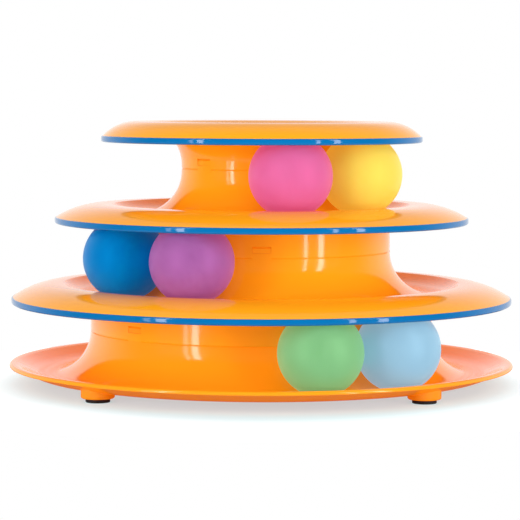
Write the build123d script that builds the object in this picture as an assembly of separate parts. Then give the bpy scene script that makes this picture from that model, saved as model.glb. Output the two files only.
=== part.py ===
from build123d import *
import os
from math import asin, cos, degrees, radians, sin, sqrt, tan

# Every length is in millimetres. Z is up, the tower stands on z = 0 about the Z axis, and its front is -Y.
# Angles round the tower are in degrees, from the front towards the right.

# Balls: hollow, each welded from two half shells
BALL_DIAMETER = 40.0
BALL_WALL = 1.2
BALL_LIFT = 0.3  # running gap between a ball and the floor of its track
BALL_GAP = 0.4  # gap between two balls that lie side by side
WELD_LIP = 1.0  # how far the lip of one half shell reaches into the other
WELD_FIT = 0.05  # gap round that lip

# How the two balls of each track lie, from the bottom tier to the top one
FIRST_NAMES = ("green", "purple", "pink")
FIRST_TURNS = (14.8, -22.5, 12.9)  # angle of the first ball
SECOND_NAMES = ("light_blue", "blue", "yellow")
SECOND_SIDES = ("right", "left", "right")  # side of the first ball on which the second one lies
FIRST_WELD_TURNS = (6.0, -5.0, 8.0)  # tilt of the weld from upright
SECOND_WELD_TURNS = (-7.0, 5.0, -4.0)

# Tracks, from the bottom tier to the top one
TOP_HUB_RADIUS = 40.0
SKIRT_STEPS = (0.2, 3.0)  # each skirt outside the path of the balls on the disc that it carries
RIM_INSETS = (1.7, 2.0, 1.0)  # how far each rim overhead stops short of the outer side of the balls
WALL = 1.8
TROUGH_SLACK = 1.0  # trough radius beyond the ball's radius
DISC_LIPS = (4.9, 4.4)  # outer edge of the track on each disc above its floor
HEADROOMS = (2.8, 2.3)  # from the top of a ball's place to the underside of the ridge overhead
RIM_OVERLAPS = (2.3, 2.3, 1.8)  # top of each rim below the top of a ball's place
RIDGE_ROUND = 2.0
CROWN_FLATS = (3.0, 6.0, 2.8)  # flat width on each flange before its dome falls to the rim

# Base
FOOT_HEIGHT = 4.2  # underside of the base above the table
BASE_OVERHANG = 1.0  # base edge beyond the lowest rim
BASE_SLOPE = 24.7  # angle, in degrees, of the straight slope outside the lowest track
BASE_LIP = 3.4  # width of the base edge from the track outwards
BASE_EDGE = 1.9  # upright height of the base edge
BASE_ROUND = 1.4  # outer round on top of the base edge
BASE_EASE = 6.0  # round between the track and the top of the base edge
BASE_FOOT_ROUND = 0.5

# Snap joint between two tiers: a spigot on the hub below, in the skirt of the piece above
SKIRT_WALL = 2.0
SPIGOT_WALL = 2.0
SPIGOT_FIT = 0.2
SPIGOT_MARGIN = 2.1  # spigot above the windows
SPIGOT_CHAMFER = 0.6
COLLAR_DEPTH = 6.0  # how far the spigot's thick collar reaches down the trough
SEAM_RISES = (0.0, 0.0, 1.1)  # each seam above the level of its trough's centre
SNAP_COUNT = 4
SNAP_TURNS = (45.0, 0.0, 45.0)  # angle of the first snap at each seam
WINDOW_WIDTH = 9.0
WINDOW_HEIGHT = 3.2
WINDOW_RISES = (3.7, 2.4, 2.0)  # lower edge of the windows above each seam
TAB_FIT = 0.12
TAB_RECESS = 0.15  # tab behind the face of the skirt
TAB_RAMP = 0.8  # ramp on the upper edge of a tab, over which the skirt slides
SEAM_GROOVE = 0.35

# Rim bead: a channel pressed over a tongue at the edge of a flange
BEAD_HEIGHT = 3.1
BEAD_WALL = 1.1
BEAD_PROUD = 0.8  # bead beyond the edge of the flange
BEAD_FIT = 0.1
BEAD_ROUND = 1.0
BEAD_BEVEL = 0.6  # bevel of the hidden inner edge
TONGUE_WALL = 1.2
TONGUE_DEPTH = 1.5
EDGE_STEP = 0.3  # underside of the flange below the top of the bead

# Top cover
COVER_HEADROOM = 3.6  # from the top of a ball's place to the underside of the cover
FLARE_START = 1.7  # straight height of the cover's skirt
BAR_WIDTH = 12.0
BAR_THICKNESS = 5.0
BAR_DEPTH = 8.0  # top of the cross bar below the top of the cover
BAR_ROUND = 2.2

# Feet: four bosses under the base, each with a rubber pad in a recess
FOOT_COUNT = 4
FOOT_TURN = 45.0
FOOT_OFFSET = 2.1  # feet outside the path of the lowest balls
PAD_DIAMETER = 11.6
PAD_THICKNESS = 3.0
PAD_SHOW = 1.8
PAD_FIT = 0.2
PAD_ROUND = 0.4
BOSS_WALL = 2.0
BOSS_ROUND = 1.0
FOOT_NAMES = ("front_right", "back_right", "back_left", "front_left")

# How far a cutter passes the face it cuts, and the distance below which two points are one
PASS = 1.0
TOUCH = 1e-6

# Sizes that follow from those above
BALL_RADIUS = BALL_DIAMETER / 2
TROUGH_RADIUS = BALL_RADIUS + TROUGH_SLACK
UNDER_RADIUS = TROUGH_RADIUS + WALL
FLOORS = [FOOT_HEIGHT + WALL]
for headroom, lip_height in zip(HEADROOMS, DISC_LIPS):
    FLOORS.append(FLOORS[-1] + BALL_DIAMETER + headroom + WALL - lip_height)
HUB_RADII = [TOP_HUB_RADIUS]
for skirt_step in reversed(SKIRT_STEPS):
    HUB_RADII.insert(0, HUB_RADII[0] + TROUGH_RADIUS + skirt_step)
LEVELS = [floor + TROUGH_RADIUS for floor in FLOORS]  # centres of the troughs
SEAMS = [level + rise for level, rise in zip(LEVELS, SEAM_RISES)]
PATHS = [hub + TROUGH_RADIUS for hub in HUB_RADII]
RIM_RADII = [path + BALL_RADIUS - inset for path, inset in zip(PATHS, RIM_INSETS)]
RIM_TOPS = [floor + BALL_DIAMETER - overlap for floor, overlap in zip(FLOORS, RIM_OVERLAPS)]
BASE_RADIUS = RIM_RADII[0] + BASE_OVERHANG
SLOPE_START = TROUGH_RADIUS * sin(radians(BASE_SLOPE))  # where the slope leaves the trough, outside the path
SLOPE_RUN = BASE_RADIUS - BASE_LIP - PATHS[0] - SLOPE_START
BASE_RISE = TROUGH_RADIUS * (1 - cos(radians(BASE_SLOPE))) + SLOPE_RUN * tan(radians(BASE_SLOPE))
LIP_HEIGHTS = (BASE_RISE, *DISC_LIPS)
WINDOW_FEET = [seam + rise for seam, rise in zip(SEAMS, WINDOW_RISES)]
SPIGOT_TOPS = [foot + WINDOW_HEIGHT + SPIGOT_MARGIN for foot in WINDOW_FEET]
BEAD_WIDTH = 2 * (BEAD_WALL + BEAD_FIT) + TONGUE_WALL
TONGUE_INSET = BEAD_WALL + BEAD_FIT
LIP_REACHES = [sqrt(TROUGH_RADIUS**2 - (TROUGH_RADIUS - height) ** 2) for height in LIP_HEIGHTS]
COVER_TOP = FLOORS[-1] + BALL_DIAMETER + COVER_HEADROOM + WALL
FLARE_LEVEL = SEAMS[-1] + FLARE_START
FLARE_RADIUS = COVER_TOP - WALL - FLARE_LEVEL
FUNNEL_RADIUS = FLARE_RADIUS + WALL
BOSS_RADIUS = PAD_DIAMETER / 2 + PAD_FIT + BOSS_WALL

# A cylinder with this alignment stands on its place
STAND = (Align.CENTER, Align.CENTER, Align.MIN)


def polar(center, radius, angle):
    """Point at an angle on a circle."""
    return (center[0] + radius * cos(radians(angle)), center[1] + radius * sin(radians(angle)))


def arc(center, radius, start, end):
    """Arc of a circle from one angle to another."""
    return ThreePointArc(*(polar(center, radius, angle) for angle in (start, (start + end) / 2, end)))


def angle_at_height(center, radius, height):
    """Angle, on the right half of a circle, of its point at a height."""
    return degrees(asin((height - center[1]) / radius))


def outline(*steps):
    """Closed face of radius against height, through points and arcs in order, with lines between them."""
    arcs = [step for step in steps if not isinstance(step, tuple)]
    starts = [Vector(*step) if isinstance(step, tuple) else step @ 0 for step in steps]
    ends = [Vector(*step) if isinstance(step, tuple) else step @ 1 for step in steps]
    spans = zip(ends, starts[1:] + starts[:1])
    lines = [Line(leave, meet) for leave, meet in spans if (meet - leave).length > TOUCH]
    return make_face(arcs + lines)


def rounded(section, corner, radius):
    """Section with one of its corners rounded."""
    return fillet(section.vertices().sort_by_distance(Vector(*corner))[0], radius)


def turned(section):
    """Solid of revolution about the tower's axis."""
    return revolve(Plane.XZ * section, Axis.Z)


def segment(section, angle, width):
    """Piece of a ring, as wide as an angle and centred at an angle from the front."""
    return Rot(0, 0, angle - 90 - width / 2) * revolve(Plane.XZ * section, Axis.Z, revolution_arc=width)


def place(radius, angle, height):
    """Point at an angle from the front."""
    return (radius * sin(radians(angle)), -radius * cos(radians(angle)), height)


# Hub, spigot and snaps


def spigot_steps(tier):
    """Inside and spigot of a hub, from its underside up and out to the seam."""
    hub, seam, top = HUB_RADII[tier], SEAMS[tier], SPIGOT_TOPS[tier]
    spigot = hub - SKIRT_WALL - SPIGOT_FIT
    bore = spigot - SPIGOT_WALL
    collar = LEVELS[tier] - COLLAR_DEPTH
    foot = PATHS[tier] - sqrt(UNDER_RADIUS**2 - COLLAR_DEPTH**2)
    return (
        (foot, collar),
        (bore, collar + foot - bore),
        (bore, top),
        (spigot - SPIGOT_CHAMFER, top),
        (spigot, top - SPIGOT_CHAMFER),
        (spigot, seam),
        (hub, seam),
    )


def collar_angle():
    """Angle on the underside of a trough at which the spigot's collar starts."""
    return 180 + degrees(asin(COLLAR_DEPTH / UNDER_RADIUS))


def snap_angles(tier):
    """Angles of the snaps at a seam."""
    return [SNAP_TURNS[tier] + index * 360 / SNAP_COUNT for index in range(SNAP_COUNT)]


def snap_tabs(tier):
    """Ramped tabs on a spigot, which hold the windows of the skirt above."""
    hub = HUB_RADII[tier]
    root = hub - SKIRT_WALL - SPIGOT_FIT - SPIGOT_WALL / 2
    face = hub - TAB_RECESS
    low = WINDOW_FEET[tier] + TAB_FIT
    high = WINDOW_FEET[tier] + WINDOW_HEIGHT - TAB_FIT
    section = outline(
        (root, low),
        (face, low),
        (face, high - TAB_RAMP),
        (face - TAB_RAMP, high),
        (root, high),
    )
    width = degrees((WINDOW_WIDTH - 2 * TAB_FIT) / hub)
    return [segment(section, angle, width) for angle in snap_angles(tier)]


def snap_windows(tier):
    """Cutters for the windows in the skirt above a seam."""
    hub = HUB_RADII[tier]
    inside, outside = hub - SKIRT_WALL - PASS, hub + SKIRT_WALL + PASS
    low = WINDOW_FEET[tier]
    high = low + WINDOW_HEIGHT
    section = outline((inside, low), (outside, low), (outside, high), (inside, high))
    return [segment(section, angle, degrees(WINDOW_WIDTH / hub)) for angle in snap_angles(tier)]


def seam_grooves(tier):
    """Cutters for the fine groove along a seam, which closes up under each window."""
    hub, seam = HUB_RADII[tier], SEAMS[tier]
    mouth = SEAM_GROOVE + PASS
    section = outline((hub - SEAM_GROOVE, seam), (hub + PASS, seam - mouth), (hub + PASS, seam + mouth))
    spacing = 360 / SNAP_COUNT
    width = spacing - degrees(WINDOW_WIDTH / hub)
    return [segment(section, angle + spacing / 2, width) for angle in snap_angles(tier)]


# Domed flanges and their rim beads


def dome(tier, crown, level):
    """Centre, radius and end angle of a dome that falls from its crown to the rim over a tier."""
    width = RIM_RADII[tier] - BEAD_PROUD - crown
    drop = level - RIM_TOPS[tier]
    radius = (width**2 + drop**2) / (2 * drop)
    center = (crown, level - radius)
    return center, radius, angle_at_height(center, radius, RIM_TOPS[tier])


def edge_steps(tier):
    """Edge of a flange, from its upper corner round the tongue to its underside."""
    rim, top = RIM_RADII[tier], RIM_TOPS[tier]
    outer = rim - TONGUE_INSET
    inner = outer - TONGUE_WALL
    return (
        (outer, top),
        (outer, top - TONGUE_DEPTH),
        (inner, top - TONGUE_DEPTH),
        (inner, top - EDGE_STEP),
    )


def rim_bead(tier):
    """Rounded bead whose channel takes the tongue of the flange over a tier."""
    rim, top = RIM_RADII[tier], RIM_TOPS[tier]
    inside, bottom = rim - BEAD_WIDTH, top - BEAD_HEIGHT
    slot_outer, slot_inner = rim - BEAD_WALL, inside + BEAD_WALL
    slot_floor = top - TONGUE_DEPTH - BEAD_FIT
    inner_top = top - EDGE_STEP - BEAD_FIT
    section = outline(
        (inside + BEAD_BEVEL, bottom),
        (rim, bottom),
        (rim, top),
        (slot_outer, top),
        (slot_outer, slot_floor),
        (slot_inner, slot_floor),
        (slot_inner, inner_top),
        (inside, inner_top),
        (inside, bottom + BEAD_BEVEL),
    )
    section = rounded(section, (rim, top), BEAD_PROUD)
    section = rounded(section, (rim, bottom), BEAD_ROUND)
    return turned(section)


# Mouldings of the tower


def base_track():
    """Base: lowest track, its hub and spigot, and the foot bosses."""
    center = (PATHS[0], LEVELS[0])
    lip = (BASE_RADIUS - BASE_LIP, FLOORS[0] + LIP_HEIGHTS[0])
    edge = (BASE_RADIUS, lip[1])
    # The straight slope touches the round of the trough at this angle
    touch = 270 + BASE_SLOPE
    under = polar(center, UNDER_RADIUS, touch)
    edge_foot = (BASE_RADIUS, edge[1] - BASE_EDGE)
    under_edge = (under[0] + (edge_foot[1] - under[1]) / tan(radians(BASE_SLOPE)), edge_foot[1])
    trough = arc(center, TROUGH_RADIUS, 180, touch)
    section = outline(
        trough,
        lip,
        edge,
        edge_foot,
        under_edge,
        arc(center, UNDER_RADIUS, touch, collar_angle()),
        *spigot_steps(0),
    )
    for corner, radius in ((lip, BASE_EASE), (edge, BASE_ROUND), (edge_foot, BASE_FOOT_ROUND)):
        section = rounded(section, corner, radius)
    inside_of_track = turned(outline(trough, lip, (lip[0], LEVELS[0])))
    base = turned(section)
    for x, y, _ in foot_places():
        boss = Pos(x, y, PAD_SHOW) * Cylinder(BOSS_RADIUS, lip[1] - PAD_SHOW, align=STAND)
        boss = fillet(boss.edges().group_by(Axis.Z)[0], BOSS_ROUND)
        recess = Pos(x, y, 0) * Cylinder(PAD_DIAMETER / 2 + PAD_FIT, PAD_THICKNESS, align=STAND)
        base = base + (boss - inside_of_track) - recess
    return base + snap_tabs(0) - seam_grooves(0)


def disc(tier):
    """Disc between two tiers: track and hub of the upper one, roof and skirt over the lower one."""
    below, skirt = tier - 1, HUB_RADII[tier - 1]
    trough_center = (PATHS[tier], LEVELS[tier])
    ridge = (PATHS[tier] + LIP_REACHES[tier], FLOORS[tier] + LIP_HEIGHTS[tier])
    ridge_angle = 270 + degrees(asin(LIP_REACHES[tier] / TROUGH_RADIUS))
    center, radius, end = dome(below, ridge[0] + CROWN_FLATS[below], ridge[1])
    fold = angle_at_height(trough_center, UNDER_RADIUS, ridge[1] - WALL) + 360
    step = angle_at_height(center, radius - WALL, RIM_TOPS[below] - EDGE_STEP)
    section = outline(
        arc(trough_center, TROUGH_RADIUS, 180, ridge_angle),
        arc(center, radius, 90, end),
        *edge_steps(below),
        arc(center, radius - WALL, step, 90),
        arc(trough_center, UNDER_RADIUS, fold, collar_angle()),
        *spigot_steps(tier),
    )
    section = rounded(section, ridge, RIDGE_ROUND)
    # The skirt's upper end lies within the wall of the trough
    skirt_top = FLOORS[tier] - WALL / 2
    tube = outline(
        (skirt - SKIRT_WALL, SEAMS[below]),
        (skirt, SEAMS[below]),
        (skirt, skirt_top),
        (skirt - SKIRT_WALL, skirt_top),
    )
    body = turned(section) + turned(tube)
    return body - snap_windows(below) - seam_grooves(below) + snap_tabs(tier) - seam_grooves(tier)


def top_cover():
    """Cover: skirt that flares into the roof over the top tier, and the funnel with its cross bar."""
    top = len(HUB_RADII) - 1
    hub, seam = HUB_RADII[top], SEAMS[top]
    socket = hub - SKIRT_WALL
    flare_center = (hub + FLARE_RADIUS, FLARE_LEVEL)
    funnel_center = (socket + FUNNEL_RADIUS, FLARE_LEVEL)
    crown = hub + FLARE_RADIUS + CROWN_FLATS[top]
    center, radius, end = dome(top, crown, COVER_TOP)
    step = angle_at_height(center, radius - WALL, RIM_TOPS[top] - EDGE_STEP)
    section = outline(
        (socket, seam),
        (hub, seam),
        arc(flare_center, FLARE_RADIUS, 180, 90),
        arc(center, radius - WALL, 90, step),
        *reversed(edge_steps(top)),
        arc(center, radius, end, 90),
        arc(funnel_center, FUNNEL_RADIUS, 90, 180),
    )
    well_radius = FUNNEL_RADIUS - SKIRT_WALL / 2
    well_center = (funnel_center[0], FLARE_LEVEL)
    well = turned(
        outline(
            (0.0, FLARE_LEVEL),
            arc(well_center, well_radius, 180, 90),
            (0.0, FLARE_LEVEL + well_radius),
        )
    )
    bar_profile = Plane.YZ * RectangleRounded(BAR_WIDTH, BAR_THICKNESS, BAR_ROUND)
    bar = extrude(bar_profile, amount=hub + FLARE_RADIUS, both=True)
    bar = Pos(0, 0, COVER_TOP - BAR_DEPTH - BAR_THICKNESS / 2) * bar
    return turned(section) + (bar & well) - snap_windows(top) - seam_grooves(top)


# Feet


def foot_places():
    """Centres of the feet on the table."""
    angles = [FOOT_TURN + index * 360 / FOOT_COUNT for index in range(FOOT_COUNT)]
    return [place(PATHS[0] + FOOT_OFFSET, angle, 0) for angle in angles]


def foot_pad():
    """Rubber pad, with its lower edge rounded."""
    pad = Cylinder(PAD_DIAMETER / 2, PAD_THICKNESS, align=STAND)
    return fillet(pad.edges().group_by(Axis.Z)[0], PAD_ROUND)


# Balls


def half_shells():
    """Two half shells of a ball about the origin: one with the weld lip, and one that takes it."""
    inside = BALL_RADIUS - BALL_WALL
    lip = inside + BALL_WALL / 2
    rebate = WELD_LIP + WELD_FIT
    middle = (0.0, 0.0)
    lipped = outline(
        arc(middle, BALL_RADIUS, 90, 0),
        (lip - WELD_FIT, 0.0),
        (lip - WELD_FIT, -WELD_LIP),
        (inside, -WELD_LIP),
        arc(middle, inside, 0, 90),
    )
    rebated = outline(
        arc(middle, BALL_RADIUS, -90, 0),
        (lip, 0.0),
        (lip, -rebate),
        arc(middle, inside, -degrees(asin(rebate / inside)), -90),
    )
    return turned(lipped), turned(rebated)


def ball_spacing(tier):
    """Angle between the two balls of a tier when they lie side by side."""
    return 2 * degrees(asin((BALL_RADIUS + BALL_GAP / 2) / PATHS[tier]))


def ball_layout():
    """Colour, tier, angle and tilt of every ball."""
    layout = []
    for tier, angle in enumerate(FIRST_TURNS):
        spacing = ball_spacing(tier) if SECOND_SIDES[tier] == "right" else -ball_spacing(tier)
        layout.append((FIRST_NAMES[tier], tier, angle, FIRST_WELD_TURNS[tier]))
        layout.append((SECOND_NAMES[tier], tier, angle + spacing, SECOND_WELD_TURNS[tier]))
    return layout


pieces = {
    "base_track": base_track(),
    "middle_track": disc(1),
    "upper_track": disc(2),
    "top_cover": top_cover(),
    "lower_rim": rim_bead(0),
    "middle_rim": rim_bead(1),
    "upper_rim": rim_bead(2),
}

for name, (x, y, _) in zip(FOOT_NAMES, foot_places()):
    pieces[f"foot_pad_{name}"] = Pos(x, y, 0) * foot_pad()

front_half, back_half = half_shells()
for colour, tier, angle, tilt in ball_layout():
    center = place(PATHS[tier], angle, FLOORS[tier] + BALL_LIFT + BALL_RADIUS)
    lie = Pos(*center) * Rot(90 + tilt, 0, 0)
    pieces[f"{colour}_ball_front_half"] = lie * front_half
    pieces[f"{colour}_ball_back_half"] = lie * back_half

os.makedirs("parts", exist_ok=True)
for name, piece in pieces.items():
    export_step(piece, f"parts/{name}.step")
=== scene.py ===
# %% [markdown]
# # A tower of ball tracks for a cat
# The CAD model comes in first, as a frame that stays where it is. Everything made in this lesson is laid on
# that frame, in metres, with the front of the tower towards -Y and the floor at z = 0. The mouldings of the
# tower are right as they come, so they only get a finish. The balls, the rim beads and the rubber feet are
# modelled anew.

# %% Load the CAD frame
from math import cos, hypot, pi, radians, sin

import bpy
from mathutils import Matrix, Vector


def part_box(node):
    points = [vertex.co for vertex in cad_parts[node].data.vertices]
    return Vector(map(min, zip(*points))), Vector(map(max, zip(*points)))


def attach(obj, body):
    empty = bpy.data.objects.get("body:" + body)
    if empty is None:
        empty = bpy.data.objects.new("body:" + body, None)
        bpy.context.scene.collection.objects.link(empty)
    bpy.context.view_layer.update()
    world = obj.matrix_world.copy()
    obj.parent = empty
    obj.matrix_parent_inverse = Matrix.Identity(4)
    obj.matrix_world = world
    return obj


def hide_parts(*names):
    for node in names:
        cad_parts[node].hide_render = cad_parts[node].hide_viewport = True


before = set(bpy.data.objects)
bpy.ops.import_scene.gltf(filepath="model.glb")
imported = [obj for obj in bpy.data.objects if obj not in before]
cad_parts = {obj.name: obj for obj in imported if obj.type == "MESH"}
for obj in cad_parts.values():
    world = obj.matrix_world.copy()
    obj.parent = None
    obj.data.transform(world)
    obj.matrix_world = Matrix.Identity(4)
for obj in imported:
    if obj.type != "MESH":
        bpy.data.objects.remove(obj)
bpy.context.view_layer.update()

# %% [markdown]
# ## The camera
# The photograph was taken from far off, a little above the top of the tower, so its lines hardly converge.
# A long lens, tilted down by four degrees, gives the same picture. A shifted lens would give it too, but a
# shift would also push the tower out of the middle of every other view, so the camera is tilted instead.

# %% Stand the camera where the photographer stood
CAMERA_PLACE = (-0.00075, -1.160, 0.1438)
CAMERA_TILT = radians(4.054)
CAMERA_ROLL = 0.0034
LENS = 161.0
SENSOR = 36.0
NEAREST = 0.05

bpy.ops.object.camera_add(location=CAMERA_PLACE)
camera = bpy.context.object
camera.name = "photo_camera"
camera.data.lens = LENS
camera.data.sensor_width = SENSOR
camera.data.clip_start = NEAREST
aim = Matrix.Rotation(pi / 2 - CAMERA_TILT, 4, "X") @ Matrix.Rotation(CAMERA_ROLL, 4, "Z")
camera.rotation_euler = aim.to_euler()
bpy.context.scene.camera = camera
bpy.context.scene.view_settings.view_transform = "Standard"
print("camera at", tuple(camera.location), "with a lens of", LENS, "mm")

# %% [markdown]
# ## Small helpers for node trees
# Every light and finish below is a node tree. A few helpers keep the trees readable: they add a node and
# set its inputs, join two sockets, do a sum, draw a smooth ramp, or start a material with its shader.

# %% Write the helpers for nodes
def add_node(tree, kind, settings=None, **inputs):
    """Add a node, set its properties, then the inputs that are named."""
    node = tree.nodes.new(kind)
    for key, value in (settings or {}).items():
        setattr(node, key, value)
    for key, value in inputs.items():
        node.inputs[key.replace("_", " ")].default_value = value
    return node


def join(tree, start, end):
    """Join an output socket to an input socket."""
    tree.links.new(start, end)


def sum_node(tree, operation, first, second, clamp=False):
    """A sum of two numbers or sockets, such as ADD or MULTIPLY. Gives the socket of its result."""
    node = add_node(tree, "ShaderNodeMath", {"operation": operation, "use_clamp": clamp})
    for socket, value in zip(node.inputs, (first, second)):
        if isinstance(value, float):
            socket.default_value = value
        else:
            join(tree, value, socket)
    return node.outputs["Value"]


def ramp_node(tree, source, span, ends):
    """A smooth ramp from one end value to the other while a socket's value crosses a span."""
    node = add_node(tree, "ShaderNodeMapRange", {"interpolation_type": "SMOOTHSTEP"})
    for key, value in zip(("From Min", "From Max", "To Min", "To Max"), span + ends):
        node.inputs[key].default_value = value
    join(tree, source, node.inputs["Value"])
    return node.outputs["Result"]


def new_material(name):
    """A material with an empty tree, its shader and its output."""
    material = bpy.data.materials.new(name)
    material.use_nodes = True
    tree = material.node_tree
    tree.nodes.clear()
    shader = add_node(tree, "ShaderNodeBsdfPrincipled")
    output = add_node(tree, "ShaderNodeOutputMaterial")
    join(tree, shader.outputs["BSDF"], output.inputs["Surface"])
    return material, tree, shader


print("helpers ready")

# %% [markdown]
# ## Light: the room
# White all round the back whitens every surface that is seen edge-on. The room behind the camera is dim, so
# the faces that look straight at us keep a full, deep colour. Lamps could paint both effects, but a world
# that goes from dim in front to white behind is simpler and softer. The white table also throws light up
# under the discs, so the world is bright below the floor too. The camera itself sees plain white
# everywhere.

# %% Build the white backdrop and the dim room
ROOM_DIM = 0.12
BACKDROP = 1.0
SKY_DIM = 0.52
BACK_SPAN = (-0.1, 0.7)
SKY_SPAN = (0.12, 0.7)
TABLE_LIGHT = 0.8
TABLE_SPAN = (-0.45, -0.1)
WHITE = (1.0, 1.0, 1.0, 1.0)

world = bpy.data.worlds.new("studio")
bpy.context.scene.world = world
world.use_nodes = True
tree = world.node_tree
tree.nodes.clear()
where = add_node(tree, "ShaderNodeTexCoord")
split = add_node(tree, "ShaderNodeSeparateXYZ")
join(tree, where.outputs["Generated"], split.inputs["Vector"])
front_to_back = ramp_node(tree, split.outputs["Y"], BACK_SPAN, (ROOM_DIM, BACKDROP))
floor_to_top = ramp_node(tree, split.outputs["Z"], SKY_SPAN, (1.0, SKY_DIM))
room = sum_node(tree, "MULTIPLY", front_to_back, floor_to_top)
table = ramp_node(tree, split.outputs["Z"], TABLE_SPAN, (TABLE_LIGHT, 0.0))
level = sum_node(tree, "MAXIMUM", room, table)
rays = add_node(tree, "ShaderNodeLightPath")
seen = sum_node(tree, "MAXIMUM", rays.outputs["Is Camera Ray"], level)
sky = add_node(tree, "ShaderNodeBackground", Color=WHITE)
join(tree, seen, sky.inputs["Strength"])
world_output = add_node(tree, "ShaderNodeOutputWorld")
join(tree, sky.outputs["Background"], world_output.inputs["Surface"])
print("world:", ROOM_DIM, "in front,", BACKDROP, "behind,", TABLE_LIGHT, "below")

# %% [markdown]
# ## Light: the strip lamps
# Two tall lamps on each side of the camera, a narrow one and a wider one, draw pairs of upright streaks on
# the glossy hubs and small bright dashes on the rim beads. Each has its own glow, because the streaks in
# the photograph differ. Area lamps are used because the gloss mirrors their shape.

# %% Hang the four strip lamps
STRIP_DISTANCE = 0.9
STRIP_ANGLES = (-48.5, -42.0, 38.0, 52.0)
STRIP_WIDTHS = (0.045, 0.07, 0.045, 0.075)
STRIP_LOW = -0.16
STRIP_HIGH = 0.8
STRIP_GLOWS = (4.3, 9.5, 8.3, 9.3)

strip_height = STRIP_HIGH - STRIP_LOW
middle = (STRIP_LOW + STRIP_HIGH) / 2
for number, (angle, width, glow) in enumerate(zip(STRIP_ANGLES, STRIP_WIDTHS, STRIP_GLOWS)):
    side = radians(angle)
    place = Vector((STRIP_DISTANCE * sin(side), -STRIP_DISTANCE * cos(side), middle))
    bpy.ops.object.light_add(type="AREA", location=place, rotation=(pi / 2, 0, side))
    strip = bpy.context.object
    strip.name = f"strip_lamp_{number}"
    strip.data.shape = "RECTANGLE"
    strip.data.size = width
    strip.data.size_y = strip_height
    strip.data.energy = glow * pi * width * strip_height
    strip.visible_camera = False
    print(strip.name, round(strip.data.energy, 2), "W")

# %% [markdown]
# ## Light: the soft lamps
# Three broad lamps light the colours evenly. A strong one stands low at each side, so that its light gets
# in under the overhanging discs, and a weak one stands high in front. A fourth hangs overhead. They don't
# show in the gloss, so they light the plastic without drawing a shape on it.

# %% Stand the soft lamps in front and hang one overhead
SOFT_DISTANCE = 1.25
SOFT_ANGLES = (-52.0, 0.0, 52.0)
SOFT_HEIGHTS = (0.12, 0.8, 0.12)
SOFT_SIZE = (0.9, 0.6)
SOFT_TURNS = (radians(90), radians(60), radians(90))
SOFT_GLOWS = (5.5, 2.0, 5.5)
TOP_PLACE = (0.0, -0.1, 1.2)
TOP_SIZE = 1.4
TOP_GLOW = 0.6


def soft_lamp(name, place, rotation, size, glow):
    """A broad lamp of an even glow, left out of the gloss and the picture."""
    bpy.ops.object.light_add(type="AREA", location=place, rotation=rotation)
    lamp = bpy.context.object
    lamp.name = name
    lamp.data.shape = "RECTANGLE"
    lamp.data.size, lamp.data.size_y = size
    lamp.data.energy = glow * pi * size[0] * size[1]
    lamp.visible_camera = False
    lamp.visible_glossy = False
    return lamp


settings = zip(SOFT_ANGLES, SOFT_HEIGHTS, SOFT_TURNS, SOFT_GLOWS)
for number, (angle, height, turn, glow) in enumerate(settings):
    side = radians(angle)
    place = Vector((SOFT_DISTANCE * sin(side), -SOFT_DISTANCE * cos(side), height))
    lamp = soft_lamp(f"soft_lamp_{number}", place, (turn, 0, side), SOFT_SIZE, glow)
    print(lamp.name, round(lamp.data.energy, 2), "W")
lamp = soft_lamp("top_lamp", TOP_PLACE, (0, 0, 0), (TOP_SIZE, TOP_SIZE), TOP_GLOW)
print(lamp.name, round(lamp.data.energy, 2), "W")

# %% [markdown]
# ## Floor
# The tower stands on white. The floor is a plain sheet that takes the tower's soft shadow, and a lift seen
# by the camera alone carries it over into the white of the backdrop further out. Near the tower the lift
# is a dim grey, so the shadow there is partly real and partly painted shade. The fade from grey to white,
# sooner at the sides than in front, paints how far the shadow reaches. The lift throws no light on the
# tower. It is a little blue near the tower, which evens out the orange light that the tower throws on the
# floor. Right under the hollow core there is no lift, so the core looks dark.

# %% Lay the floor
FLOOR_RADIUS = 0.2
FLOOR_SIDES = 128
FLOOR_ROUGHNESS = 0.9
FLOOR_COLOUR = (0.5, 0.5, 0.5, 1.0)
# Near the tower the lift is this dim blue-grey. It is painted shade, tinted to offset the orange bounce.
PAINTED_SHADOW_LIFT = (0.325, 0.52, 0.55, 1.0)
FLOOR_CORE = (0.045, 0.065)
PAINTED_SHADOW_FADE = (0.12, 0.18)
PAINTED_SHADOW_SQUEEZE = (1.13, 1.0, 1.0)

bpy.ops.object.select_all(action="DESELECT")
bpy.ops.mesh.primitive_circle_add(vertices=FLOOR_SIDES, radius=FLOOR_RADIUS, fill_type="NGON")
floor = bpy.context.object
floor.name = "floor"
material, tree, shader = new_material("white_floor")
shader.inputs["Base Color"].default_value = FLOOR_COLOUR
shader.inputs["Roughness"].default_value = FLOOR_ROUGHNESS
shader.inputs["Specular IOR Level"].default_value = 0.0
where = add_node(tree, "ShaderNodeTexCoord")
shadow_squeeze = add_node(tree, "ShaderNodeVectorMath", {"operation": "MULTIPLY"})
shadow_squeeze.inputs[1].default_value = PAINTED_SHADOW_SQUEEZE
join(tree, where.outputs["Object"], shadow_squeeze.inputs[0])
reach = add_node(tree, "ShaderNodeVectorMath", {"operation": "LENGTH"})
join(tree, shadow_squeeze.outputs["Vector"], reach.inputs[0])
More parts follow.
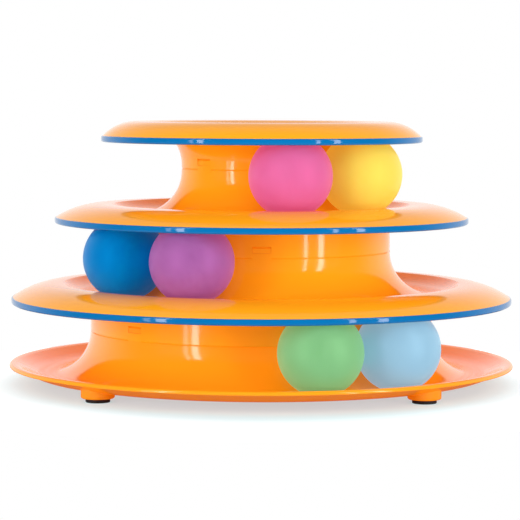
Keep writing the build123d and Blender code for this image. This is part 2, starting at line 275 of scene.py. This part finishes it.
# The fade from the grey lift to white paints how far the tower's shadow reaches.
shadow_fade = ramp_node(tree, reach.outputs["Value"], PAINTED_SHADOW_FADE, (0.0, 1.0))
tint = add_node(tree, "ShaderNodeMix", {"data_type": "RGBA"})
tint.inputs["A"].default_value = PAINTED_SHADOW_LIFT
tint.inputs["B"].default_value = WHITE
join(tree, shadow_fade, tint.inputs["Factor"])
join(tree, tint.outputs["Result"], shader.inputs["Emission Color"])
core = ramp_node(tree, reach.outputs["Value"], FLOOR_CORE, (0.0, 1.0))
rays = add_node(tree, "ShaderNodeLightPath")
lift = sum_node(tree, "MULTIPLY", rays.outputs["Is Camera Ray"], core)
join(tree, lift, shader.inputs["Emission Strength"])
floor.data.materials.append(material)
print("floor", tuple(round(v, 3) for v in floor.dimensions))

# %% [markdown]
# ## Finishes: a moulded surface
# Moulded plastic is never perfectly even. The pigment leaves a faint cloud in the colour, the steel of the
# mould a fine grain in the gloss, and the shrinking plastic a slow swell that makes the streaks of light
# wander. All three are wanted in every plastic here, so they are made once, as a node group, and each
# plastic sets its own amounts.

# %% Make the node group of a moulded surface
CLOUD_DETAIL = 3.0
GRAIN_DETAIL = 2.0
SWELL_DETAIL = 1.0
NOISE_ROUGHNESS = 0.55
NOISE_MEAN = 0.5


def centred_noise(group, where, scale, detail):
    """Noise about zero on the object's own coordinates, at a scale given by a socket."""
    noise = add_node(group, "ShaderNodeTexNoise", Detail=detail, Roughness=NOISE_ROUGHNESS)
    join(group, where, noise.inputs["Vector"])
    join(group, scale, noise.inputs["Scale"])
    return sum_node(group, "SUBTRACT", noise.outputs["Fac"], NOISE_MEAN)


def moulded_surface_group():
    """Cloud of the pigment, grain of the gloss, and the height of grain and swell in metres."""
    group = bpy.data.node_groups.new("moulded_surface", "ShaderNodeTree")
    amounts = ("Cloud", "Grain", "Grain Height", "Swell Height")
    scales = ("Cloud Scale", "Grain Scale", "Swell Scale")
    for name in amounts + scales:
        group.interface.new_socket(name, in_out="INPUT", socket_type="NodeSocketFloat")
    for name in ("Cloud", "Roughness Shift", "Height"):
        group.interface.new_socket(name, in_out="OUTPUT", socket_type="NodeSocketFloat")
    given = group.nodes.new("NodeGroupInput").outputs
    result = group.nodes.new("NodeGroupOutput").inputs
    where = add_node(group, "ShaderNodeTexCoord").outputs["Object"]
    cloud = centred_noise(group, where, given["Cloud Scale"], CLOUD_DETAIL)
    grain = centred_noise(group, where, given["Grain Scale"], GRAIN_DETAIL)
    swell = centred_noise(group, where, given["Swell Scale"], SWELL_DETAIL)
    join(group, sum_node(group, "MULTIPLY", cloud, given["Cloud"]), result["Cloud"])
    join(group, sum_node(group, "MULTIPLY", grain, given["Grain"]), result["Roughness Shift"])
    grain_height = sum_node(group, "MULTIPLY", grain, given["Grain Height"])
    swell_height = sum_node(group, "MULTIPLY", swell, given["Swell Height"])
    join(group, sum_node(group, "ADD", grain_height, swell_height), result["Height"])
    return group


MOULDED = moulded_surface_group()
print("node group", MOULDED.name, "with", len(MOULDED.nodes), "nodes")

# %% [markdown]
# ## Finishes: where the balls have rolled
# Each ball polishes and scuffs a ring in the floor of its track. The marks run round the tower, so the
# noise is stretched that way: it changes fast across the track and slowly along it. A mask by radius and
# height keeps the marks to the ring. They only touch the gloss, because a toy this new has kept its colour.

# %% Make the node group of the rolling marks
RING_EDGE = (0.5, 1.0)
MARKS_END = (0.003, 0.006)
MARKS_START = (-0.0012, -0.0006)
CHANGE_ACROSS = 1500.0
CHANGE_ALONG = 25.0
MARK_DETAIL = 2.0


def rolling_marks_group():
    """Ring of fine marks round the tower, at a radius and a height, as a shift of the roughness."""
    group = bpy.data.node_groups.new("rolling_marks", "ShaderNodeTree")
    for name in ("Path Radius", "Path Width", "Floor Height", "Amount"):
        group.interface.new_socket(name, in_out="INPUT", socket_type="NodeSocketFloat")
    group.interface.new_socket("Roughness Shift", in_out="OUTPUT", socket_type="NodeSocketFloat")
    given = group.nodes.new("NodeGroupInput").outputs
    result = group.nodes.new("NodeGroupOutput").inputs
    where = add_node(group, "ShaderNodeTexCoord").outputs["Object"]
    split = add_node(group, "ShaderNodeSeparateXYZ")
    join(group, where, split.inputs["Vector"])
    flat = add_node(group, "ShaderNodeCombineXYZ")
    join(group, split.outputs["X"], flat.inputs["X"])
    join(group, split.outputs["Y"], flat.inputs["Y"])
    length = add_node(group, "ShaderNodeVectorMath", {"operation": "LENGTH"})
    join(group, flat.outputs["Vector"], length.inputs[0])
    radius = length.outputs["Value"]
    offset = sum_node(group, "SUBTRACT", radius, given["Path Radius"])
    aside = sum_node(group, "DIVIDE", sum_node(group, "ABSOLUTE", offset, 0.0), given["Path Width"])
    in_ring = ramp_node(group, aside, RING_EDGE, (1.0, 0.0))
    above = sum_node(group, "SUBTRACT", split.outputs["Z"], given["Floor Height"])
    on_floor = ramp_node(group, above, MARKS_END, (1.0, 0.0))
    not_under = ramp_node(group, above, MARKS_START, (0.0, 1.0))
    along = add_node(group, "ShaderNodeCombineXYZ")
    join(group, sum_node(group, "MULTIPLY", radius, CHANGE_ACROSS), along.inputs["X"])
    join(group, sum_node(group, "MULTIPLY", split.outputs["X"], CHANGE_ALONG), along.inputs["Y"])
    join(group, sum_node(group, "MULTIPLY", split.outputs["Y"], CHANGE_ALONG), along.inputs["Z"])
    marks = add_node(group, "ShaderNodeTexNoise", Scale=1.0, Detail=MARK_DETAIL)
    join(group, along.outputs["Vector"], marks.inputs["Vector"])
    ring = sum_node(group, "MULTIPLY", sum_node(group, "MULTIPLY", in_ring, on_floor), not_under)
    scuffed = sum_node(group, "MULTIPLY", ring, marks.outputs["Fac"])
    join(group, sum_node(group, "MULTIPLY", scuffed, given["Amount"]), result["Roughness Shift"])
    return group


ROLLED = rolling_marks_group()
print("node group", ROLLED.name, "with", len(ROLLED.nodes), "nodes")

# %% [markdown]
# ## Finishes: the plastics
# One function makes every plastic here: a colour that clouds towards a second one, a gloss that the grain
# disturbs, and a bump from grain and swell. The blue of the beads comes first: it is hard and glossy.

# %% Write the maker of plastics
CLOUD_AMOUNT = 0.25
CLOUD_SHARE = 0.15
FINE_GRAIN = 0.05
FINE_HEIGHTS = (4e-6, 1.2e-5)
FINE_SCALES = (40.0, 250.0, 70.0)


def plastic(name, colour, second, roughness, grain=FINE_GRAIN, heights=FINE_HEIGHTS, scales=FINE_SCALES):
    """Moulded plastic: its colour clouds towards a second one, and its gloss waves a little."""
    material, tree, shader = new_material(name)
    surface = add_node(tree, "ShaderNodeGroup", {"node_tree": MOULDED})
    amounts = (CLOUD_AMOUNT, grain) + heights + scales
    for socket, value in zip(surface.inputs, amounts):
        socket.default_value = value
    tint = add_node(tree, "ShaderNodeMix", {"data_type": "RGBA"})
    tint.inputs["A"].default_value = colour + (1.0,)
    tint.inputs["B"].default_value = second + (1.0,)
    share = sum_node(tree, "ADD", surface.outputs["Cloud"], CLOUD_SHARE, clamp=True)
    join(tree, share, tint.inputs["Factor"])
    join(tree, tint.outputs["Result"], shader.inputs["Base Color"])
    gloss = sum_node(tree, "ADD", surface.outputs["Roughness Shift"], roughness, clamp=True)
    join(tree, gloss, shader.inputs["Roughness"])
    relief = add_node(tree, "ShaderNodeBump", Strength=1.0, Distance=1.0)
    join(tree, surface.outputs["Height"], relief.inputs["Height"])
    join(tree, relief.outputs["Normal"], shader.inputs["Normal"])
    return material, tree, shader


BLUE_SHADES = ((0.0, 0.14, 0.378), (0.0, 0.127, 0.35))
BLUE_ROUGHNESS = 0.06
BLUE_SPECULAR = 0.36
BLUE, _, shader = plastic("blue_gloss", *BLUE_SHADES, BLUE_ROUGHNESS)
shader.inputs["Specular IOR Level"].default_value = BLUE_SPECULAR
print("finish", BLUE.name)

# %% [markdown]
# ## Finishes: the orange mouldings
# The base, the two discs and the cover are one orange. Their walls are thin, so some light soaks through
# and comes out redder. A faint red glow stands in for it: painted light that lifts their shaded parts. The
# base glows more strongly. Its glow is also painted light that stands in for the light which the white
# table throws up under its edge, and its colour is deeper only to offset that stronger glow. Each of the
# three tracks gets its own material, because the ring that its balls have rolled lies at its own radius
# and height.

# %% Make the orange of each moulding
ORANGE_COLOURS = ((0.8, 0.365, 0.01), (0.78, 0.325, 0.008))
# The base's colour is deeper only to offset its stronger painted glow.
BASE_COLOURS = ((0.72, 0.305, 0.01), (0.7, 0.27, 0.008))
ORANGE_ROUGHNESS = 0.1
# Painted glow: a red emission that lifts the shaded orange, in place of light that soaks through.
PAINTED_GLOW_COLOUR = (1.0, 0.15, 0.0, 1.0)
PAINTED_GLOW = 0.19
BASE_PAINTED_GLOW = 0.36
PATH_WIDTH = 0.007
MARK_AMOUNT = 0.22
TRACKS = {"base_track": "green", "middle_track": "purple", "upper_track": "pink"}


def ball_box(colour):
    """Centre and radius of a ball, from the boxes of its two CAD halves."""
    halves = [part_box(f"{colour}_ball_{half}") for half in ("front_half", "back_half")]
    corners = [corner for half in halves for corner in half]
    low = Vector([min(corner[i] for corner in corners) for i in range(3)])
    high = Vector([max(corner[i] for corner in corners) for i in range(3)])
    return (low + high) / 2, (high - low).x / 2


def orange(node):
    """Glossy orange of a moulding, with a painted red glow that stands in for light soaking through and, on
    the base, for the table's light too.
    """
    colours, glow = (BASE_COLOURS, BASE_PAINTED_GLOW) if node == "base_track" else (ORANGE_COLOURS, PAINTED_GLOW)
    material, tree, shader = plastic(f"orange_{node}", *colours, ORANGE_ROUGHNESS)
    shader.inputs["Emission Color"].default_value = PAINTED_GLOW_COLOUR
    shader.inputs["Emission Strength"].default_value = glow
    return material, tree, shader


ORANGE = {"top_cover": orange("top_cover")[0]}
for track, colour in TRACKS.items():
    ORANGE[track], tree, shader = orange(track)
    center, radius = ball_box(colour)
    marks = add_node(tree, "ShaderNodeGroup", {"node_tree": ROLLED})
    values = (hypot(center.x, center.y), PATH_WIDTH, center.z - radius, MARK_AMOUNT)
    for socket, value in zip(marks.inputs, values):
        socket.default_value = value
    gloss = shader.inputs["Roughness"].links[0].from_socket
    worn = sum_node(tree, "ADD", gloss, marks.outputs["Roughness Shift"], clamp=True)
    join(tree, worn, shader.inputs["Roughness"])
    print(ORANGE[track].name, "with marks at a radius of", round(values[0], 4))

# %% [markdown]
# ## Finishes: the balls and the rubber
# The balls are thin, hollow and satin, and light soaks into them, so they get subsurface light. Light that
# falls on the far side of a thin shell also bounces about inside and comes out evenly. Tracing that takes
# very many bounces, so a faint glow in the ball's own colour, painted light, stands in for it. The two
# palest balls, low in the tower, get a stronger glow, which paints light into their shaded sides. The
# rubber of the feet is black, rough and grainy.

# %% Make the satin of each ball and the rubber
BALL_COLOURS = {
    "green": ((0.115, 0.232, 0.117), (0.104, 0.224, 0.102)),
    "light_blue": ((0.13, 0.202, 0.25), (0.117, 0.195, 0.248)),
    "purple": ((0.235, 0.083, 0.226), (0.223, 0.075, 0.22)),
    "blue": ((0.0, 0.131, 0.312), (0.0, 0.123, 0.3)),
    "pink": ((0.423, 0.098, 0.222), (0.414, 0.09, 0.211)),
    "yellow": ((0.53, 0.405, 0.076), (0.523, 0.39, 0.063)),
}
# The inside glow is painted light: an emission in a deepened copy of the ball's colour, which evens out its
# shading.
PAINTED_INSIDE_GLOW = 0.85
PAINTED_INSIDE_GLOWS = {"green": 2.1, "light_blue": 3.1}
BALL_ROUGHNESS = 0.45
BALL_SPECULAR = 0.9
SOAK_DEPTH = 0.028
PAINTED_GLOW_DEPTH = 1.4

BALLS = {}
for colour, shades in BALL_COLOURS.items():
    BALLS[colour], tree, shader = plastic(f"{colour}_satin", *shades, BALL_ROUGHNESS)
    shader.inputs["Specular IOR Level"].default_value = BALL_SPECULAR
    shader.inputs["Subsurface Weight"].default_value = 1.0
    shader.inputs["Subsurface Radius"].default_value = (1.0, 1.0, 1.0)
    shader.inputs["Subsurface Scale"].default_value = SOAK_DEPTH
    shader.inputs["Emission Strength"].default_value = PAINTED_INSIDE_GLOWS.get(colour, PAINTED_INSIDE_GLOW)
    purest = [part / max(shades[0]) for part in shades[0]]
    shader.inputs["Specular Tint"].default_value = purest + [1.0]
    deeper = add_node(tree, "ShaderNodeGamma", Gamma=PAINTED_GLOW_DEPTH)
    join(tree, shader.inputs["Base Color"].links[0].from_socket, deeper.inputs["Color"])
    join(tree, deeper.outputs["Color"], shader.inputs["Emission Color"])
RUBBER_SHADES = ((0.012, 0.012, 0.013), (0.03, 0.03, 0.032))
RUBBER_ROUGHNESS = 0.6
RUBBER_GRAIN = 0.2
RUBBER_HEIGHTS = (4e-5, 2e-5)
RUBBER_SCALES = (60.0, 900.0, 120.0)
relief = (RUBBER_GRAIN, RUBBER_HEIGHTS, RUBBER_SCALES)
RUBBER = plastic("black_rubber", *RUBBER_SHADES, RUBBER_ROUGHNESS, *relief)[0]
print("finishes:", [RUBBER.name] + [finish.name for finish in BALLS.values()])

# %% [markdown]
# ## Balls
# Each ball is moulded in two half shells, which are welded together. From outside only the weld shows, as a
# fine line round the middle. A ball could be left as the two CAD halves, but a single closed skin lets
# light soak through it, so one ball is modelled here from a sphere, its weld bevelled and pressed in, and
# copied for each colour.

# %% Model one ball
WELD_WIDTH = 0.00018
WELD_DEPTH = 0.00007
WELD_SEGMENTS = 2
BALL_SEGMENTS = 96
BALL_RINGS = 48
TINY = 1e-6
BALL_RADIUS = ball_box("green")[1]


def select_where(mesh, test):
    """Select the vertices that pass a test of their place, in vertex mode."""
    bpy.ops.object.mode_set(mode="EDIT")
    bpy.ops.mesh.select_mode(type="VERT")
    bpy.ops.mesh.select_all(action="DESELECT")
    bpy.ops.object.mode_set(mode="OBJECT")
    for vertex in mesh.vertices:
        vertex.select = test(vertex.co)
    bpy.ops.object.mode_set(mode="EDIT")


bpy.ops.object.select_all(action="DESELECT")
bpy.ops.mesh.primitive_uv_sphere_add(segments=BALL_SEGMENTS, ring_count=BALL_RINGS, radius=BALL_RADIUS)
model_ball = bpy.context.object
model_ball.name = "model_ball"
select_where(model_ball.data, lambda place: abs(place.z) < TINY)
bpy.ops.mesh.select_mode(type="EDGE")
bpy.ops.mesh.bevel(offset=WELD_WIDTH, segments=WELD_SEGMENTS, affect="EDGES")
select_where(model_ball.data, lambda place: abs(place.z) < TINY)
shrink = 1 - WELD_DEPTH / BALL_RADIUS
bpy.ops.transform.resize(value=(shrink, shrink, 1.0), center_override=(0, 0, 0))
bpy.ops.object.mode_set(mode="OBJECT")
bpy.ops.object.shade_smooth()
print("one ball:", len(model_ball.data.polygons), "faces, radius", round(BALL_RADIUS, 4))

# %% [markdown]
# ## Six balls from one
# A copy of the ball goes to each place in the tracks, turned so that no two welds lie alike. The turn and
# the place are applied to the mesh, so that the object itself stays at the origin, as the CAD nodes do.

# %% Copy the ball into its six places
WELD_TILTS = {"green": 6, "purple": -5, "pink": 8, "light_blue": -7, "blue": 5, "yellow": -4}


def copy_to(model, name, place, rotation, finish):
    """Copy of a model with its own mesh, its place and turn put into that mesh."""
    bpy.ops.object.select_all(action="DESELECT")
    piece = model.copy()
    piece.data = model.data.copy()
    bpy.context.collection.objects.link(piece)
    piece.name = piece.data.name = name
    piece.location = place
    piece.rotation_euler = rotation
    piece.select_set(True)
    bpy.context.view_layer.objects.active = piece
    bpy.ops.object.transform_apply(location=True, rotation=True, scale=True)
    piece.data.materials.clear()
    piece.data.materials.append(finish)
    return piece


for colour, tilt in WELD_TILTS.items():
    turn = (radians(90 + tilt), 0, 0)
    ball = copy_to(model_ball, f"{colour}_ball", ball_box(colour)[0], turn, BALLS[colour])
    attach(ball, f"{colour}_ball")
    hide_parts(f"{colour}_ball_front_half", f"{colour}_ball_back_half")
    print(ball.name, [round(v, 4) for v in ball_box(colour)[0]])
bpy.data.objects.remove(model_ball)

# %% [markdown]
# ## A lathe for round pieces
# The beads and the feet are round, so they are turned as on a lathe: an outline is traced point by point
# with the extrude tool, its sharp corners are bevelled while it is a flat face, and the outline is then
# spun about an axis. A torus or a cylinder would be quicker, but neither has the channel of a bead or the
# dished sole of a foot.

# %% Write the lathe
SPIN_STEPS = 240
SMOOTH_ANGLE = radians(35)
SEED_SIZE = 0.001


def trace_outline(name, points):
    """Trace points of radius and height with the extrude tool, as one chain of edges, and fill it."""
    bpy.ops.object.select_all(action="DESELECT")
    start = Vector((points[0][0], 0.0, points[0][1]))
    bpy.ops.mesh.primitive_plane_add(size=SEED_SIZE, location=start)
    piece = bpy.context.object
    piece.name = piece.data.name = name
    bpy.ops.object.transform_apply(location=True, rotation=True, scale=True)
    bpy.ops.object.mode_set(mode="EDIT")
    bpy.ops.mesh.select_mode(type="VERT")
    bpy.ops.mesh.select_all(action="SELECT")
    bpy.ops.mesh.merge(type="CENTER")
    here = start
    for radius, height in points[1:]:
        there = Vector((radius, 0.0, height))
        bpy.ops.mesh.extrude_region_move(TRANSFORM_OT_translate={"value": there - here})
        here = there
    bpy.ops.mesh.select_all(action="SELECT")
    bpy.ops.mesh.edge_face_add()
    return piece


def round_corner(piece, corner, size, segments):
    """Bevel the corner of a filled outline that lies at a radius and a height."""
    spot = Vector((corner[0], 0.0, corner[1]))
    select_where(piece.data, lambda place: (place - spot).length < TINY)
    bpy.ops.mesh.bevel(offset=size, segments=segments, affect="VERTICES")


def spin_outline(piece, steps):
    """Open a filled outline, spin its edges about the Z axis, close the seam and turn the faces outward."""
    bpy.ops.mesh.select_all(action="SELECT")
    bpy.ops.mesh.delete(type="ONLY_FACE")
    bpy.ops.mesh.select_all(action="SELECT")
    bpy.ops.mesh.spin(steps=steps, angle=2 * pi, center=(0, 0, 0), axis=(0, 0, 1))
    bpy.ops.mesh.select_all(action="SELECT")
    bpy.ops.mesh.remove_doubles(threshold=TINY)
    bpy.ops.mesh.delete_loose()
    bpy.ops.mesh.select_all(action="SELECT")
    bpy.ops.mesh.normals_make_consistent(inside=False)
    bpy.ops.object.mode_set(mode="OBJECT")
    bpy.ops.object.shade_smooth_by_angle(angle=SMOOTH_ANGLE)


print("lathe ready, with", SPIN_STEPS, "steps to a turn")

# %% [markdown]
# ## Rim beads
# A soft blue bead is pressed over the edge of each flange: its channel takes a tongue of the flange, and
# its outer corners are well rounded, so that they catch a bright dash from each strip lamp. The outline is
# the same for all three beads and only its radius differs, so each is spun from the same steps.

# %% Spin the three beads
BEAD_WIDTH = 0.0036
BEAD_WALL = 0.0011
CHANNEL_DEPTH = 0.0016
INNER_DROP = 0.0004
TOP_ROUND = 0.0008
FOOT_ROUND = 0.001
INNER_BEVEL = 0.0006
BEAD_SEGMENTS = 6

for node in ("lower_rim", "middle_rim", "upper_rim"):
    low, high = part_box(node)
    outer, top, foot = high[0], high[2], low[2]
    inner = outer - BEAD_WIDTH
    bead = trace_outline(f"{node}_bead", [
        (inner, foot),
        (outer, foot),
        (outer, top),
        (outer - BEAD_WALL, top),
        (outer - BEAD_WALL, top - CHANNEL_DEPTH),
        (inner + BEAD_WALL, top - CHANNEL_DEPTH),
        (inner + BEAD_WALL, top - INNER_DROP),
        (inner, top - INNER_DROP),
    ])
    round_corner(bead, (outer, top), TOP_ROUND, BEAD_SEGMENTS)
    round_corner(bead, (outer, foot), FOOT_ROUND, BEAD_SEGMENTS)
    round_corner(bead, (inner, foot), INNER_BEVEL, 1)
    spin_outline(bead, SPIN_STEPS)
    bead.data.materials.append(BLUE)
    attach(bead, "tower")
    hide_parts(node)
    print(bead.name, len(bead.data.polygons), "faces,", [round(v, 4) for v in bead.dimensions])

# %% [markdown]
# ## Rubber feet
# Four black pads sit in bosses under the base. Only a thin edge shows from the front, but from below each
# has a dished sole with a ring on it, which grips the floor like a small suction cup. One foot is spun and
# copied four times.

# %% Spin one foot and copy it
DISH = 0.0006
RING = 0.0003
RING_INNER = 0.0022
RING_OUTER = 0.0034
SLANT = 0.0003
TREAD = 0.0013
SOLE_ROUND = 0.0004
BACK_ROUND = 0.0002
SOLE_SEGMENTS = 4
BACK_SEGMENTS = 3
FOOT_STEPS = 64
FEET = ("front_right", "back_right", "back_left", "front_left")

low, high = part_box("foot_pad_front_left")
radius, thickness = (high[0] - low[0]) / 2, high[2] - low[2]
model_foot = trace_outline("model_foot", [
    (0.0, DISH),
    (RING_INNER, DISH),
    (RING_INNER + SLANT, DISH - RING),
    (RING_OUTER - SLANT, DISH - RING),
    (RING_OUTER, DISH),
    (radius - TREAD - SLANT, DISH),
    (radius - TREAD, 0.0),
    (radius, 0.0),
    (radius, thickness),
    (0.0, thickness),
])
round_corner(model_foot, (radius, 0.0), SOLE_ROUND, SOLE_SEGMENTS)
round_corner(model_foot, (radius, thickness), BACK_ROUND, BACK_SEGMENTS)
spin_outline(model_foot, FOOT_STEPS)
for corner in FEET:
    low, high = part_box(f"foot_pad_{corner}")
    place = Vector(((low[0] + high[0]) / 2, (low[1] + high[1]) / 2, low[2]))
    foot = copy_to(model_foot, f"rubber_foot_{corner}", place, (0, 0, 0), RUBBER)
    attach(foot, "tower")
    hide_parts(f"foot_pad_{corner}")
    print(foot.name, [round(v, 4) for v in foot.dimensions])
bpy.data.objects.remove(model_foot)

# %% [markdown]
# ## The finishes go on the CAD nodes
# The four orange mouldings stay as the CAD made them and only take their finish. The nodes that a new piece
# stands for are hidden, but they take the matching finish too, so that nothing is left bare.

# %% Put the finishes on the CAD nodes
for name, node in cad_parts.items():
    if name in ORANGE:
        finish = ORANGE[name]
    elif "_ball_" in name:
        finish = BALLS[name.split("_ball_")[0]]
    elif "rim" in name:
        finish = BLUE
    else:
        finish = RUBBER
    node.data.materials.clear()
    node.data.materials.append(finish)
print(len(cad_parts), "nodes finished")
